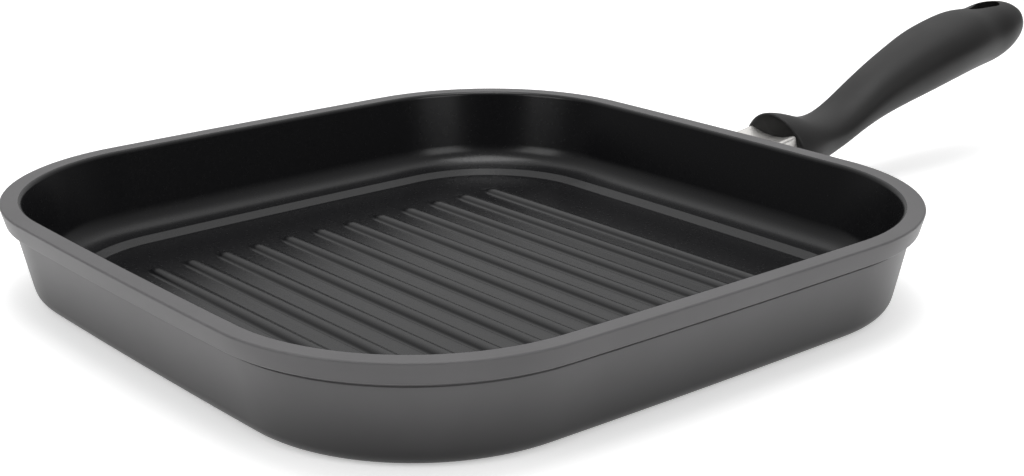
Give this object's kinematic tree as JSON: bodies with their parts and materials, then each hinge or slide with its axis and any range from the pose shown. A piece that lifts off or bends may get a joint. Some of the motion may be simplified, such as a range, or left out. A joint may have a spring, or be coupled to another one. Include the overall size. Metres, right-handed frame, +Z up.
{
  "type": "grill pan",
  "caption": "Square cast grill pan with rounded corners, a stepped rim band, a ribbed coated floor, and a moulded stick handle screwed on through a polished bracket.",
  "frame": {"origin": "centre of the pan's flat underside, the face that rests on the hob", "axes": "+X from the pan's centre out along the handle, +Z up out of the pan, +Y to the left when looking along the handle"},
  "size_m": [0.4756, 0.2796, 0.0679],
  "materials": {
    "cast_aluminium": "satin",
    "polished_casting": "polished",
    "phenolic_moulding": "satin",
    "zinc_plated_steel": "satin"
  },
  "bodies": {
    "root": {"pan_body": "cast_aluminium", "lug_insert": "zinc_plated_steel", "handle_bracket": "polished_casting", "handle_grip": "phenolic_moulding", "tie_screw": "zinc_plated_steel", "plain_washer": "zinc_plated_steel", "spring_washer": "zinc_plated_steel"}
  },
  "joints": []
}
